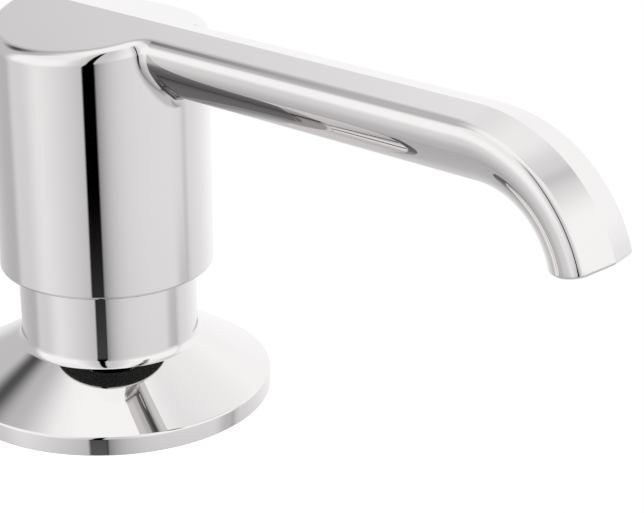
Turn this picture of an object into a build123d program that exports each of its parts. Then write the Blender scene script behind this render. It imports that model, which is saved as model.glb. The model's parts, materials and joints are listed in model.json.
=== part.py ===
"""Deck-mounted soap pump dispenser, in millimetres.

+Z is up and +X runs along the spout. The origin is on the pump's axis, in the plane of the
deck, so the flange stands on z = 0 and the shank, nut and bottle hang below it.
"""
import os
from math import atan, cos, degrees, pi, radians, sin, sqrt, tan

from build123d import *

os.makedirs("parts", exist_ok=True)

# Clearances
run_gap = 0.3           # between pieces that slide or turn on each other
fit_gap = 0.1           # between pieces that are pushed together
travel_spare = 1.0      # left over at the bottom of the stroke
cut_spare = 1.0         # how far a cutting shape reaches past the surface it opens

# Flange and its gasket
flange_radius = 27.0
rim_height = 3.1
rim_round = 0.5
cone_angle = 30.0
cove_round = 1.7        # hollow between the cone and the neck
seat_height = 9.0       # from the deck to the collar's seat in the neck
lip_height = 2.4        # of the neck's lip round the collar's foot
lip_wall = 0.6
flange_foot = 3.0       # width of the ring that stands on the deck
gasket_thickness = 1.6

# Shank, washer and nut under the deck
shank_radius = 12.5
shank_bore = 9.7
shank_length = 62.0
shank_head_radius = 17.0
shank_head = 2.0
deck_thickness = 30.0
washer_radius = 21.0
washer_thickness = 2.0
nut_radius = 17.0
nut_height = 11.0
wing_count = 4
wing_reach = 25.0
wing_thickness = 4.0
wing_height = 9.0
wing_round = 1.2

# Bottle
bottle_radius = 33.0
bottle_height = 104.0   # straight body with its foot
bottle_wall = 1.6
bottle_shoulder = 14.0
bottle_foot_round = 6.0
bottle_dome = 4.0       # push-up in the foot
neck_overlap = 12.0     # how far the bottle's neck reaches up the shank
neck_below = 4.0        # neck below the end of the shank
bottle_neck_wall = 2.6

# Collar that the head slides over
collar_radius = 14.75
collar_wall = 1.5
collar_show = 13.85     # from its seat to the head
collar_engage = 10.6    # height inside the head
collar_floor = 2.5
spigot_length = 6.5
spigot_wall = 1.4

# Small rings
ring_section = 1.6      # height and about the width of the sealing rings' grooves
ring_depth = 0.9
glide_drop = 3.2        # from the collar's top to the glide ring's middle

# Head and spout
head_wall = 2.65
head_height = 43.2      # from the lower edge to the ridge
roof_slope = 0.185      # fall of the roof to each side of the ridge
roof_wall = 2.0
top_round = 2.35
joint_round = 2.2       # where the spout leaves the head
head_edge = 0.3
spout_half_width = 6.6
spout_side = 3.2        # flat flank between the roof and the round underside
spout_straight = 75.3   # from the axis to the start of the bend
bend_radius = 24.8      # at the ridge
bend_angle = 73.2
under_straight = 76.8   # the underside starts to bend a little later,
under_radius = 19.0     # and on a tighter arc, so the spout thins towards its end
roof_depth = 1.9        # of the roof bar's flanks, which lap over the underside's
tip_spare = 8.0         # degrees of bend that are cut off square

# Soap way in the head
insert_disc = 2.0
insert_radius = 6.8
pocket_step = 1.6       # ledge in the head that the insert's disc rests on
pocket_height = 11.0
tube_radius = 2.1
tube_bore = 1.4
tube_drop = 6.2         # from the ridge down to the tube's axis
tube_start = 4.0
nozzle_radius = 3.1
nozzle_length = 5.0
nozzle_recess = 0.4
nozzle_mouth = 0.5      # bevel at the outlet

# Plunger
travel = 10.0
stem_radius = 3.5
stem_bore = 1.4
socket_depth = 8.0
outlet_ball_radius = 1.9
outlet_lift = 1.2
outlet_gap = 0.35       # round the outlet ball
piston_height = 9.8
piston_floor = 2.0
piston_groove = 2.6
piston_lip = 1.2
seal_taper = 0.4        # how far the seal's upper edge stands inside the piston

# Pump cylinder
cylinder_bore = 6.2
cylinder_wall = 1.4
cylinder_depth = 51.0   # from the rim's top to the spring's seat
rim_thickness = 2.0
rim_width = 2.9
cap_plate = 3.0
tower_height = 10.0
tower_wall = 2.0
bush_height = 4.0
bush_wall = 1.35
cage_height = 5.0
cage_hole = 1.9
inlet_ball_radius = 2.5
inlet_lift = 1.5
inlet_bore = 1.5
chamber_gap = 0.7       # round the inlet ball
dip_tube_radius = 3.0
dip_tube_bore = 2.0
dip_tube_grip = 9.0
dip_tube_clear = 6.0    # above the bottle's floor
nipple_wall = 1.5

# Return spring
wire_radius = 0.45
spring_radius = 4.6
spring_turns = 9

# Heights worked out from the sizes above, from the deck upwards
neck_bore = shank_bore
cone_top = rim_height + (flange_radius - collar_radius) * tan(radians(cone_angle))
seat_z = seat_height
lip_top = seat_z + lip_height
lip_bore = collar_radius - lip_wall
head_bottom = seat_z + collar_show
ridge_z = head_bottom + head_height
collar_top = head_bottom + collar_engage
floor_top = seat_z + collar_floor
rim_low = floor_top + gasket_thickness
rim_top = rim_low + rim_thickness
cap_top = rim_top + cap_plate
tower_top = cap_top + tower_height
hub_low = tower_top + travel + travel_spare
stem_top = hub_low + socket_depth
disc_low = collar_top + travel + travel_spare
disc_top = disc_low + insert_disc
head_bore = collar_radius + run_gap
head_radius = head_bore + head_wall
pocket_radius = head_bore - pocket_step
hub_pocket = insert_radius + fit_gap
pocket_top = ridge_z - roof_slope * hub_pocket - roof_wall
eave_z = ridge_z - roof_slope * spout_half_width
under_z = eave_z - spout_side
under_bend_z = under_z - under_radius
tube_z = ridge_z - tube_drop
bend_z = ridge_z - bend_radius
tube_bend = tube_z - bend_z

# Radii and heights of the pump
spigot_radius = neck_bore - run_gap
spigot_bore = spigot_radius - spigot_wall
cup_radius = collar_radius - collar_wall
cylinder_radius = cylinder_bore + cylinder_wall
rim_radius = cylinder_radius + rim_width
stem_guide = stem_radius + fit_gap
bush_radius = stem_guide + bush_wall
tower_radius = bush_radius + tower_wall
piston_radius = cylinder_bore - run_gap
piston_top = rim_top - fit_gap
piston_low = piston_top - piston_height
cage_top = rim_top - cylinder_depth
cage_low = cage_top - cage_height
chamber_radius = inlet_ball_radius + chamber_gap
seat_rise = sqrt(2)     # a ball on a 45 degree seat stands this many radii above its point
inlet_seat = cage_low - 2 * fit_gap - inlet_lift - inlet_ball_radius * (1 + seat_rise) + inlet_bore
inlet_ball_z = inlet_seat - inlet_bore + inlet_ball_radius * seat_rise + fit_gap
socket_top = inlet_seat - nipple_wall
nipple_low = socket_top - dip_tube_grip
nipple_radius = dip_tube_radius + fit_gap + nipple_wall
outlet_seat = stem_top - 2 * fit_gap - outlet_lift - outlet_ball_radius * (1 + seat_rise) + stem_bore
outlet_ball_z = outlet_seat - stem_bore + outlet_ball_radius * seat_rise + fit_gap

# Heights below the deck
washer_low = -deck_thickness - washer_thickness
nut_low = washer_low - nut_height
bottle_top = neck_overlap - shank_length
shoulder_top = -shank_length - neck_below
shoulder_low = shoulder_top - bottle_shoulder
bottle_low = shoulder_low - bottle_height
bottle_neck_bore = shank_radius + run_gap
bottle_neck_radius = bottle_neck_bore + bottle_neck_wall
dip_tube_low = bottle_low + bottle_dome + bottle_wall + dip_tube_clear


def ring(inner, outer, low, high):
    """Half section of a plain ring, for a sketch that is then turned about the axis."""
    with Locations(((inner + outer) / 2, (low + high) / 2)):
        Rectangle(outer - inner, high - low)


def roof_outline(distance):
    """Section of the spout's upper bar: two roof facets and short flanks."""
    with BuildSketch(Plane.YZ.offset(distance)) as outline:
        with BuildLine():
            Polyline(
                (-spout_half_width, eave_z - roof_depth),
                (-spout_half_width, eave_z),
                (0, ridge_z),
                (spout_half_width, eave_z),
                (spout_half_width, eave_z - roof_depth),
                close=True,
            )
        make_face()
    return outline.sketch


def underside_outline(distance):
    """Section of the spout's lower bar: flanks that lap with the roof's, and a half round."""
    lap_z = under_z + roof_depth
    with BuildSketch(Plane.YZ.offset(distance)) as outline:
        with BuildLine():
            Polyline(
                (-spout_half_width, under_z),
                (-spout_half_width, lap_z),
                (spout_half_width, lap_z),
                (spout_half_width, under_z),
            )
            ThreePointArc(
                (spout_half_width, under_z),
                (0, under_z - spout_half_width),
                (-spout_half_width, under_z),
            )
        make_face()
    return outline.sketch


def soap_way(distance, outer, inner=0.0):
    """Round section of the soap's way through the spout, or of the tube in it."""
    with BuildSketch(Plane.YZ.offset(distance)) as outline:
        with Locations((0, tube_z)):
            Circle(outer)
            if inner > 0:
                Circle(inner, mode=Mode.SUBTRACT)
    return outline.sketch


def outlet_section(recess, outer, inner=0.0):
    """Round section across the bend, a recess back from the spout's end."""
    turn = radians(bend_angle) - recess / tube_bend
    centre = (spout_straight + tube_bend * sin(turn), 0, bend_z + tube_bend * cos(turn))
    with BuildSketch(Plane(origin=centre, x_dir=(0, 1, 0), z_dir=(cos(turn), 0, -sin(turn)))) as outline:
        Circle(outer)
        if inner > 0:
            Circle(inner, mode=Mode.SUBTRACT)
    return outline.sketch


bend_axis = Axis((spout_straight, 0, bend_z), (0, 1, 0))
under_axis = Axis((under_straight, 0, under_bend_z), (0, 1, 0))
nozzle_turn = degrees(nozzle_length / tube_bend)
recess_turn = degrees(nozzle_recess / tube_bend)
gap_turn = degrees(fit_gap / tube_bend)


# Flange: rim, cone and a neck with a lip round the collar's foot, hollow below for the shank's head
with BuildPart() as flange:
    with BuildSketch(Plane.XZ):
        with BuildLine():
            Polyline(
                (flange_radius - flange_foot, 0),
                (flange_radius, 0),
                (flange_radius, rim_height),
                (collar_radius, cone_top),
                (collar_radius, lip_top),
                (lip_bore, lip_top),
                (lip_bore, seat_z),
                (neck_bore, seat_z),
                (neck_bore, gasket_thickness + shank_head),
                (shank_head_radius + fit_gap, gasket_thickness + shank_head),
                (shank_head_radius + fit_gap, gasket_thickness),
                (flange_radius - flange_foot, gasket_thickness),
                close=True,
            )
        make_face()
    revolve(axis=Axis.Z)
    rim_edges = flange.edges().filter_by(GeomType.CIRCLE).group_by(SortBy.RADIUS)[-1]
    fillet(rim_edges.sort_by(Axis.Z)[-1], rim_round)
    fillet(flange.edges().filter_by_position(Axis.Z, cone_top - fit_gap, cone_top + fit_gap), cove_round)
flange.part.label = "flange"
export_step(flange.part, "parts/flange.step")

with BuildPart() as flange_gasket:
    with BuildSketch(Plane.XZ):
        ring(shank_radius + fit_gap, flange_radius - flange_foot - fit_gap, 0, gasket_thickness)
    revolve(axis=Axis.Z)
flange_gasket.part.label = "flange_gasket"
export_step(flange_gasket.part, "parts/flange_gasket.step")

# Shank: tube through the deck, with a head that the flange covers
with BuildPart() as shank:
    with BuildSketch(Plane.XZ):
        ring(shank_bore, shank_radius, -shank_length, gasket_thickness)
        ring(shank_bore, shank_head_radius, gasket_thickness, gasket_thickness + shank_head)
    revolve(axis=Axis.Z)
shank.part.label = "shank"
export_step(shank.part, "parts/shank.step")

with BuildPart() as clamp_washer:
    with BuildSketch(Plane.XZ):
        ring(shank_radius + run_gap, washer_radius, washer_low, -deck_thickness)
    revolve(axis=Axis.Z)
clamp_washer.part.label = "clamp_washer"
export_step(clamp_washer.part, "parts/clamp_washer.step")

# Hand nut with wings
with BuildPart() as mounting_nut:
    with BuildSketch(Plane.XY.offset(nut_low)):
        Circle(nut_radius)
    extrude(amount=nut_height)
    with BuildSketch(Plane.XY.offset(nut_low)):
        with PolarLocations(wing_reach / 2, wing_count):
            Rectangle(wing_reach, wing_thickness)
    extrude(amount=wing_height)
    fillet(mounting_nut.edges().filter_by(Axis.Z).group_by(Axis.Z)[0], wing_round)
    with BuildSketch(Plane.XY.offset(nut_low)):
        Circle(shank_radius + run_gap)
    extrude(amount=nut_height, mode=Mode.SUBTRACT)
mounting_nut.part.label = "mounting_nut"
export_step(mounting_nut.part, "parts/mounting_nut.step")


def bottle_outline(neck, inset):
    """Half section of the bottle, from its axis to its wall drawn in by an inset."""
    side = bottle_radius - inset
    foot = bottle_low + inset
    foot_round = bottle_foot_round - inset
    dome_edge = bottle_radius - 2 * bottle_foot_round
    with BuildSketch(Plane.XZ) as outline:
        with BuildLine():
            Polyline((0, bottle_top), (neck, bottle_top), (neck, shoulder_top - inset))
            TangentArc((side, shoulder_low), (neck, shoulder_top - inset), tangent=(0, 1))
            Line((side, shoulder_low), (side, foot + foot_round))
            TangentArc((side, foot + foot_round), (side - foot_round, foot), tangent=(0, -1))
            Line((side - foot_round, foot), (dome_edge, foot))
            TangentArc((0, foot + bottle_dome), (dome_edge, foot), tangent=(1, 0))
            Line((0, foot + bottle_dome), (0, bottle_top))
        make_face()
    return outline.sketch


# Bottle: blown body with a neck that screws on the foot of the shank
with BuildPart() as bottle:
    revolve(bottle_outline(bottle_neck_radius, 0), axis=Axis.Z)
    revolve(bottle_outline(bottle_neck_bore, bottle_wall), axis=Axis.Z, mode=Mode.SUBTRACT)
bottle.part.label = "bottle"
export_step(bottle.part, "parts/bottle.step")

# Collar: turned cup flush with the flange's neck, on a foot and a spigot that drop into it
half_ring = ring_section / 2
glide_z = collar_top - glide_drop
seat_ring_z = seat_z - spigot_length / 2
with BuildPart() as collar:
    with BuildSketch(Plane.XZ):
        ring(spigot_bore, lip_bore - run_gap, seat_z, floor_top)
        ring(cup_radius, collar_radius, lip_top + fit_gap / 2, collar_top)
        ring(spigot_bore, spigot_radius, seat_z - spigot_length, seat_z)
    revolve(axis=Axis.Z)
    with BuildSketch(Plane.XZ):
        ring(collar_radius - ring_depth, collar_radius + cut_spare,
             glide_z - half_ring, glide_z + half_ring)
        ring(spigot_radius - ring_depth, spigot_radius + cut_spare,
             seat_ring_z - half_ring, seat_ring_z + half_ring)
    revolve(axis=Axis.Z, mode=Mode.SUBTRACT)
collar.part.label = "collar"
export_step(collar.part, "parts/collar.step")

with BuildPart() as glide_ring:
    with BuildSketch(Plane.XZ):
        ring(collar_radius - ring_depth + fit_gap, collar_radius + run_gap / 2,
             glide_z - half_ring + fit_gap, glide_z + half_ring - fit_gap)
    revolve(axis=Axis.Z)
glide_ring.part.label = "glide_ring"
export_step(glide_ring.part, "parts/glide_ring.step")

with BuildPart() as seat_ring:
    with BuildSketch(Plane.XZ):
        ring(spigot_radius - ring_depth + fit_gap, spigot_radius + run_gap / 2,
             seat_ring_z - half_ring + fit_gap, seat_ring_z + half_ring - fit_gap)
    revolve(axis=Axis.Z)
seat_ring.part.label = "seat_ring"
export_step(seat_ring.part, "parts/seat_ring.step")

# Pump cylinder: rim, tube, ball seat and a nipple for the dip tube
with BuildPart() as pump_housing:
    with BuildSketch(Plane.XZ):
        with BuildLine():
            Polyline(
                (cylinder_bore, rim_top),
                (rim_radius, rim_top),
                (rim_radius, rim_low),
                (cylinder_radius, rim_low),
                (cylinder_radius, cage_low),
                (nipple_radius, inlet_seat),
                (nipple_radius, nipple_low),
                (dip_tube_radius + fit_gap, nipple_low),
                (dip_tube_radius + fit_gap, socket_top),
                (inlet_bore, socket_top),
                (inlet_bore, inlet_seat),
                (chamber_radius, inlet_seat + chamber_radius - inlet_bore),
                (chamber_radius, cage_low),
                (cylinder_bore, cage_low),
                close=True,
            )
        make_face()
    revolve(axis=Axis.Z)
pump_housing.part.label = "pump_housing"
export_step(pump_housing.part, "parts/pump_housing.step")

with BuildPart() as housing_gasket:
    with BuildSketch(Plane.XZ):
        ring(cylinder_radius + fit_gap, rim_radius, floor_top, rim_low)
    revolve(axis=Axis.Z)
housing_gasket.part.label = "housing_gasket"
export_step(housing_gasket.part, "parts/housing_gasket.step")

# Cap: skirt in the collar's cup, plate over the cylinder's rim and a tower for the stem
with BuildPart() as pump_cap:
    with BuildSketch(Plane.XZ):
        ring(rim_radius + fit_gap, cup_radius - fit_gap, floor_top, rim_top)
        ring(stem_guide + fit_gap, cup_radius - fit_gap, rim_top, cap_top)
        ring(stem_guide + fit_gap, tower_radius, cap_top, tower_top)
    revolve(axis=Axis.Z)
    with BuildSketch(Plane.XZ):
        ring(stem_radius, bush_radius + fit_gap, tower_top - bush_height, tower_top)
    revolve(axis=Axis.Z, mode=Mode.SUBTRACT)
pump_cap.part.label = "pump_cap"
export_step(pump_cap.part, "parts/pump_cap.step")

with BuildPart() as stem_bush:
    with BuildSketch(Plane.XZ):
        ring(stem_guide, bush_radius, tower_top - bush_height, tower_top)
    revolve(axis=Axis.Z)
stem_bush.part.label = "stem_bush"
export_step(stem_bush.part, "parts/stem_bush.step")

with BuildPart() as valve_cage:
    with BuildSketch(Plane.XZ):
        ring(cage_hole, cylinder_bore - fit_gap, cage_low, cage_low + cage_height / 2)
        ring(spring_radius + 2 * wire_radius, cylinder_bore - fit_gap, cage_low, cage_top)
    revolve(axis=Axis.Z)
valve_cage.part.label = "valve_cage"
export_step(valve_cage.part, "parts/valve_cage.step")

with BuildPart() as inlet_ball:
    with Locations((0, 0, inlet_ball_z)):
        Sphere(inlet_ball_radius)
inlet_ball.part.label = "inlet_ball"
export_step(inlet_ball.part, "parts/inlet_ball.step")

with BuildPart() as dip_tube:
    with BuildSketch(Plane.XZ):
        ring(dip_tube_bore, dip_tube_radius, dip_tube_low, socket_top - fit_gap)
    revolve(axis=Axis.Z)
dip_tube.part.label = "dip_tube"
export_step(dip_tube.part, "parts/dip_tube.step")

# Plunger: hollow stem with a ball seat in its top, piston with a lip seal
o_ring_z = outlet_seat - ring_section
with BuildPart() as stem:
    with BuildSketch(Plane.XZ):
        with BuildLine():
            ball_room = outlet_ball_radius + outlet_gap
            Polyline(
                (stem_bore, piston_low + piston_floor + fit_gap),
                (stem_radius, piston_low + piston_floor + fit_gap),
                (stem_radius, stem_top - fit_gap),
                (ball_room, stem_top - fit_gap),
                (ball_room, outlet_seat + ball_room - stem_bore),
                (stem_bore, outlet_seat),
                close=True,
            )
        make_face()
    revolve(axis=Axis.Z)
    with BuildSketch(Plane.XZ):
        ring(stem_radius - ring_depth, stem_radius + cut_spare, o_ring_z - half_ring, o_ring_z + half_ring)
    revolve(axis=Axis.Z, mode=Mode.SUBTRACT)
stem.part.label = "stem"
export_step(stem.part, "parts/stem.step")

with BuildPart() as stem_o_ring:
    with BuildSketch(Plane.XZ):
        ring(stem_radius - ring_depth + fit_gap, stem_radius + fit_gap / 2,
             o_ring_z - half_ring + fit_gap, o_ring_z + half_ring - fit_gap)
    revolve(axis=Axis.Z)
stem_o_ring.part.label = "stem_o_ring"
export_step(stem_o_ring.part, "parts/stem_o_ring.step")

with BuildPart() as outlet_ball:
    with Locations((0, 0, outlet_ball_z)):
        Sphere(outlet_ball_radius)
outlet_ball.part.label = "outlet_ball"
export_step(outlet_ball.part, "parts/outlet_ball.step")

groove_z = (piston_top + piston_low) / 2
groove_low = groove_z - piston_groove / 2
groove_high = groove_z + piston_groove / 2
with BuildPart() as piston:
    with BuildSketch(Plane.XZ):
        ring(stem_bore, piston_radius, piston_low, piston_low + piston_floor)
        ring(stem_radius + fit_gap, piston_radius, piston_low + piston_floor, piston_top)
    revolve(axis=Axis.Z)
    with BuildSketch(Plane.XZ):
        ring(piston_radius - piston_lip, piston_radius + cut_spare, groove_low, groove_high)
    revolve(axis=Axis.Z, mode=Mode.SUBTRACT)
piston.part.label = "piston"
export_step(piston.part, "parts/piston.step")

# Lip seal: a ring in the piston's groove whose lower lip flares out to the cylinder
with BuildPart() as piston_seal:
    with BuildSketch(Plane.XZ):
        with BuildLine():
            Polyline(
                (piston_radius - piston_lip + fit_gap, groove_low + fit_gap),
                (cylinder_bore - fit_gap, groove_low + fit_gap),
                (piston_radius - seal_taper, groove_high - fit_gap),
                (piston_radius - piston_lip + fit_gap, groove_high - fit_gap),
                close=True,
            )
        make_face()
    revolve(axis=Axis.Z)
piston_seal.part.label = "piston_seal"
export_step(piston_seal.part, "parts/piston_seal.step")

# Return spring: one wire on half-turn pairs of arcs that follow a helix
coil_low = cage_low + cage_height / 2 + wire_radius + fit_gap
coil_high = piston_low - wire_radius - fit_gap
pitch = (coil_high - coil_low) / spring_turns
lead = atan(pitch / (2 * pi * spring_radius))
rise = pitch / 4        # a quarter turn, from a whole or half turn to the middle of the next
middle_radius = -sin(lead) * rise / cos(lead) + sqrt(
    (sin(lead) * rise / cos(lead)) ** 2 + spring_radius**2 + rise**2
)
with BuildPart() as return_spring:
    with BuildLine() as coil:
        tangent = (0, cos(lead), sin(lead))
        for half in range(2 * spring_turns):
            side = 1 if half % 2 == 0 else -1
            z = coil_low + half * pitch / 2
            middle = (0, side * middle_radius, z + rise)
            first = TangentArc((side * spring_radius, 0, z), middle, tangent=tangent)
            second = TangentArc(middle, (-side * spring_radius, 0, z + 2 * rise), tangent=first % 1)
            tangent = second % 1
    with BuildSketch(Plane(origin=coil.line @ 0, z_dir=coil.line % 0)):
        Circle(wire_radius)
    sweep(path=coil.line)
return_spring.part.label = "return_spring"
export_step(return_spring.part, "parts/return_spring.step")

samples_per_turn = 24
sample_count = samples_per_turn * spring_turns
samples = [coil.line @ (i / sample_count) for i in range(sample_count + 1)]
least = min(
    (far - near).length
    for i, near in enumerate(samples)
    for far in samples[i + samples_per_turn // 2:]
)
print("spring: least gap to itself", round(least - 2 * wire_radius, 2), "mm")

# Head's barrel: a cylinder under a gable roof
eave_reach = head_radius + cut_spare
with BuildPart() as barrel:
    with BuildSketch(Plane.XY.offset(head_bottom)):
        Circle(head_radius)
    extrude(amount=head_height)
    with BuildSketch(Plane.YZ):
        with BuildLine():
            Polyline(
                (0, ridge_z),
                (eave_reach, ridge_z - roof_slope * eave_reach),
                (eave_reach, ridge_z + cut_spare),
                (-eave_reach, ridge_z + cut_spare),
                (-eave_reach, ridge_z - roof_slope * eave_reach),
                close=True,
            )
        make_face()
    extrude(amount=eave_reach, both=True, mode=Mode.SUBTRACT)

# Head and spout: the barrel, and a bar of the same roof that bends down and ends square
tip_turn = radians(bend_angle)
tip_plane = Plane(origin=(spout_straight, 0, bend_z), z_dir=(cos(tip_turn), 0, -sin(tip_turn)))
with BuildPart() as spout_head:
    extrude(roof_outline(0), amount=spout_straight)
    revolve(roof_outline(spout_straight), axis=bend_axis, revolution_arc=bend_angle + tip_spare)
    extrude(underside_outline(0), amount=under_straight)
    revolve(underside_outline(under_straight), axis=under_axis, revolution_arc=bend_angle + tip_spare)
    split(bisect_by=tip_plane, keep=Keep.BOTTOM)
    add(barrel.part)
    wall = spout_head.faces().filter_by(GeomType.CYLINDER).sort_by(SortBy.AREA)[-1]
    joint = wall.edges().filter_by(lambda edge: edge.center().X > 0 and abs(edge.center().Y) > fit_gap)
    fillet(joint, joint_round)
    roof = spout_head.faces().filter_by(GeomType.PLANE).filter_by(lambda face: face.normal_at().Z > 0.9)
    eaves = roof.edges().filter_by(lambda edge: abs(edge.center().Y) > spout_half_width / 2 + fit_gap)
    bend_eaves = spout_head.edges().filter_by(GeomType.CIRCLE).filter_by(
        lambda edge: edge.center().X > spout_straight and abs(edge.center().Y) > fit_gap
    ).sort_by(SortBy.RADIUS)[-2:]
    fillet(eaves + bend_eaves, top_round)
    lower_rim = spout_head.edges().filter_by(GeomType.CIRCLE).sort_by(Axis.Z)[0]
    chamfer(lower_rim, head_edge)
    with BuildSketch(Plane.XZ):
        ring(0, head_bore, head_bottom, disc_top)
        ring(0, pocket_radius, disc_top, disc_top + pocket_height)
        ring(0, hub_pocket, disc_top, pocket_top)
    revolve(axis=Axis.Z, mode=Mode.SUBTRACT)
    extrude(soap_way(0, tube_radius + run_gap), amount=spout_straight, mode=Mode.SUBTRACT)
    way_bend = soap_way(spout_straight, tube_radius + run_gap)
    revolve(way_bend, axis=bend_axis, revolution_arc=bend_angle, mode=Mode.SUBTRACT)
    outlet = outlet_section(0, nozzle_radius + fit_gap)
    revolve(outlet, axis=bend_axis, revolution_arc=-(nozzle_turn + recess_turn), mode=Mode.SUBTRACT)
spout_head.part.label = "spout_head"
export_step(spout_head.part, "parts/spout_head.step")

# Insert: hub with the stem's socket, a disc that the head rests on and a port for the tube
with BuildPart() as head_insert:
    with BuildSketch(Plane.XZ):
        ring(0, insert_radius, hub_low, pocket_top - fit_gap)
        ring(0, head_bore - fit_gap, disc_low, disc_top)
    revolve(axis=Axis.Z)
    with BuildSketch(Plane.XZ):
        ring(0, stem_guide, hub_low, stem_top)
        ring(0, stem_bore, stem_top, tube_z)
    revolve(axis=Axis.Z, mode=Mode.SUBTRACT)
    extrude(soap_way(0, tube_bore), amount=tube_start, mode=Mode.SUBTRACT)
    extrude(soap_way(tube_start, tube_radius + fit_gap), amount=insert_radius, mode=Mode.SUBTRACT)
head_insert.part.label = "head_insert"
export_step(head_insert.part, "parts/head_insert.step")

with BuildPart() as spout_tube:
    tube_from = tube_start + fit_gap
    extrude(soap_way(tube_from, tube_radius, tube_bore), amount=spout_straight - tube_from)
    tube_turn = bend_angle - nozzle_turn - recess_turn - gap_turn
    revolve(soap_way(spout_straight, tube_radius, tube_bore), axis=bend_axis, revolution_arc=tube_turn)
spout_tube.part.label = "spout_tube"
export_step(spout_tube.part, "parts/spout_tube.step")

with BuildPart() as nozzle_tip:
    nozzle_end = outlet_section(nozzle_recess, nozzle_radius, tube_bore)
    revolve(nozzle_end, axis=bend_axis, revolution_arc=-nozzle_turn)
    outlet_edges = nozzle_tip.edges().filter_by(GeomType.CIRCLE).sort_by(Axis.Z)
    chamfer(outlet_edges.filter_by(lambda edge: abs(edge.radius - tube_bore) < fit_gap)[0], nozzle_mouth)
nozzle_tip.part.label = "nozzle_tip"
export_step(nozzle_tip.part, "parts/nozzle_tip.step")
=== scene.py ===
import json
from math import asin, atan2, cos, hypot, pi, radians, sin, sqrt

import bmesh
import bpy
from mathutils import Matrix, Vector


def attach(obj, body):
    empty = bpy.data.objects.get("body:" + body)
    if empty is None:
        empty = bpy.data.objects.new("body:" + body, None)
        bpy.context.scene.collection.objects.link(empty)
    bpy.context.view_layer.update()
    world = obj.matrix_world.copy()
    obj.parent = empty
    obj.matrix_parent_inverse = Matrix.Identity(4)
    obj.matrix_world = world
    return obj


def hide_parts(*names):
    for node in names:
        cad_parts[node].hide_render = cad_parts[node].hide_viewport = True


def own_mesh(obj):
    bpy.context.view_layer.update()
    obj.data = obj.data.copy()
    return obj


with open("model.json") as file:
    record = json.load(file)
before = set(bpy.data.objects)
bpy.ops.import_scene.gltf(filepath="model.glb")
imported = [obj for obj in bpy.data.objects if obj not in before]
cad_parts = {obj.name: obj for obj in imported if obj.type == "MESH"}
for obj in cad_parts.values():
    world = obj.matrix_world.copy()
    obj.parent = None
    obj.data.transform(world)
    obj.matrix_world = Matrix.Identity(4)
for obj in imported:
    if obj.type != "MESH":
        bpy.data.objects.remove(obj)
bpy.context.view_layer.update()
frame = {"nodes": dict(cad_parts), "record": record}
scene = bpy.context.scene
MM = 0.001

# Head and spout, in millimetres: near the solid's sizes, with edges rounded for how they catch the light
HEAD_RADIUS = 17.7
HEAD_BORE = 15.05
HEAD_LOW = 22.85
HEAD_INSIDE = (         # radius and height of each corner of the insert's pocket
    (HEAD_BORE, 46.45), (13.45, 46.45), (13.45, 57.45), (6.90, 57.45), (6.90, 62.77),
)
HEAD_EDGE = 0.55
PAINTED_SHADE_RISE = 0.1         # of the painted shade and dull bare metal above the head's lower face
RIDGE = 66.05
RIDGE_EASE = 1.0        # from the ridge to where the roof's edge has its full slope
ROOF_SLOPE = 0.185
HEAD_ROUND = 2.35
SPOUT_ROUND = 2.43
BEND_ROUND = 1.7
BEND_EASE = 0.55        # share of the bend in which the spout's round eases to the bend's
BEND_EASE_POWER = 1.7
JOINT_ROUND = 2.2
FLANK_LEAST = 0.05      # flank left between the top's round and the underside
SPOUT_HALF = 6.6
UNDER_Z = 62.7
UNDER_ARCS = (          # how far down each arc turns, in degrees, and its radius
    (28, 5.0), (52, 13.75), (90, 3.8),
)
BEND_X = 75.3
BEND_Z = 41.25
BEND_ANGLE = radians(73.2)
UNDER_X = 76.8
UNDER_BEND_Z = 42.629
END_ROUND = 0.5
OUTLET_RADIUS = 3.2
OUTLET_DROP = 6.2
OUTLET_DEPTH = 5.4

# Flange and collar, in millimetres; profiles are radius and height
FLANGE_RADIUS = 27
RIM_HEIGHT = 3.1
RIM_ROUND = 0.29
RIM_FOOT_ROUND = 0.15
NECK_RADIUS = 14.75
CONE_TOP = 10.1726
COVE_REACH = 0.981
FLANGE_PROFILE = (
    (24, 0), (FLANGE_RADIUS, 0), (FLANGE_RADIUS, RIM_HEIGHT), (NECK_RADIUS, CONE_TOP),
    (NECK_RADIUS, 11.4), (14.15, 11.4), (14.15, 9), (9.7, 9),
    (9.7, 3.6), (17.1, 3.6), (17.1, 1.6), (24, 1.6),
)
COLLAR_TOP = 33.45
COLLAR_ROUND = 0.3
COLLAR_PROFILE = (
    (NECK_RADIUS, 11.402), (NECK_RADIUS, 29.45), (13.85, 29.45), (13.85, 31.05),
    (NECK_RADIUS, 31.05), (NECK_RADIUS, COLLAR_TOP), (13.25, COLLAR_TOP), (13.25, 11.5),
    (8.0, 11.5), (8.0, 2.5), (9.4, 2.5), (9.4, 4.95), (8.5, 4.95), (8.5, 6.55),
    (9.4, 6.55), (9.4, 9.0), (13.85, 9.0), (13.85, 11.402),
)

# Shank and spring, in millimetres
SHANK_CORE = 11.9
SHANK_LOW = -62
SHANK_ROUND = 0.6
SHANK_PROFILE = (
    (9.7, SHANK_LOW), (SHANK_CORE, SHANK_LOW), (SHANK_CORE, 1.6), (17, 1.6), (17, 3.6), (9.7, 3.6),
)
THREAD_TOOTH = ((11.7, 0), (12.5, 1.0), (12.5, 1.5), (11.7, 2.5))
THREAD_LOW = -61.2
THREAD_PITCH = 3.0
THREAD_TURNS = 19
SPRING_RADIUS = 4.6
SPRING_LOW = -37.849
SPRING_HIGH = 4.651
SPRING_TURNS = 9
WIRE_RADIUS = 0.45

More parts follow.
